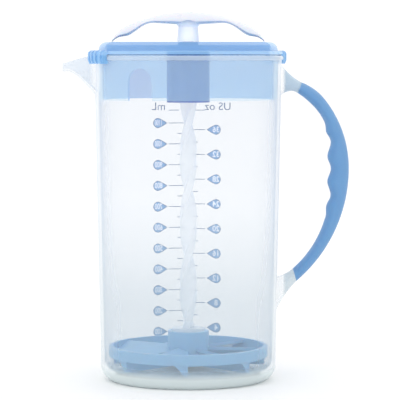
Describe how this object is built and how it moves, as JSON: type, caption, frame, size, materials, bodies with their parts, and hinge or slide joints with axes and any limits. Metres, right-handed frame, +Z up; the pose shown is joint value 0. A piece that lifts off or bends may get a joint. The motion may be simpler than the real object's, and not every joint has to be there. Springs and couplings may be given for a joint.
{
  "type": "mixing pitcher",
  "caption": "Translucent baby formula mixing pitcher with side handle, spout, bayonet lid and a pump handle that spins a bladed wheel on a twisted bar.",
  "frame": {"origin": "centre of the jug's foot, on the surface that it stands on", "axes": "+Z up along the jug's axis; +X towards the side handle; the pouring spout points to -X; -Y is the side that the viewer faces"},
  "size_m": [0.165, 0.1094, 0.212],
  "materials": {
    "frosted_clear": "translucent, softly frosted",
    "lid_blue": "translucent, satin",
    "grip_blue": "soft touch, matte",
    "white": "satin",
    "wheel_blue": "translucent, satin"
  },
  "bodies": {
    "pitcher": {"pitcher_body": "frosted_clear", "handle_grip": "grip_blue"},
    "lid": {"lid": "lid_blue", "shaft_guide": "lid_blue"},
    "handle": {"pump_handle": "white"},
    "mixer": {"mixing_shaft": "white", "mixing_wheel": "wheel_blue"}
  },
  "joints": [
    {"name": "lid_turn", "type": "hinge", "parent": "pitcher", "child": "lid", "pos_m": [0, 0, 0.187], "axis": [0, 0, 1], "range_deg": [0, 122]},
    {"name": "pump", "type": "slide", "parent": "lid", "child": "handle", "axis": [0, 0, 1], "range_m": [0, 0.13]},
    {"name": "mixer_spin", "type": "hinge", "parent": "handle", "child": "mixer", "pos_m": [0, 0, 0.1], "axis": [0, 0, 1], "range_deg": [0, 620]}
  ],
  "couplings": [
    {"joint": "mixer_spin", "follows": "pump", "rad_per_m": 82.892}
  ]
}
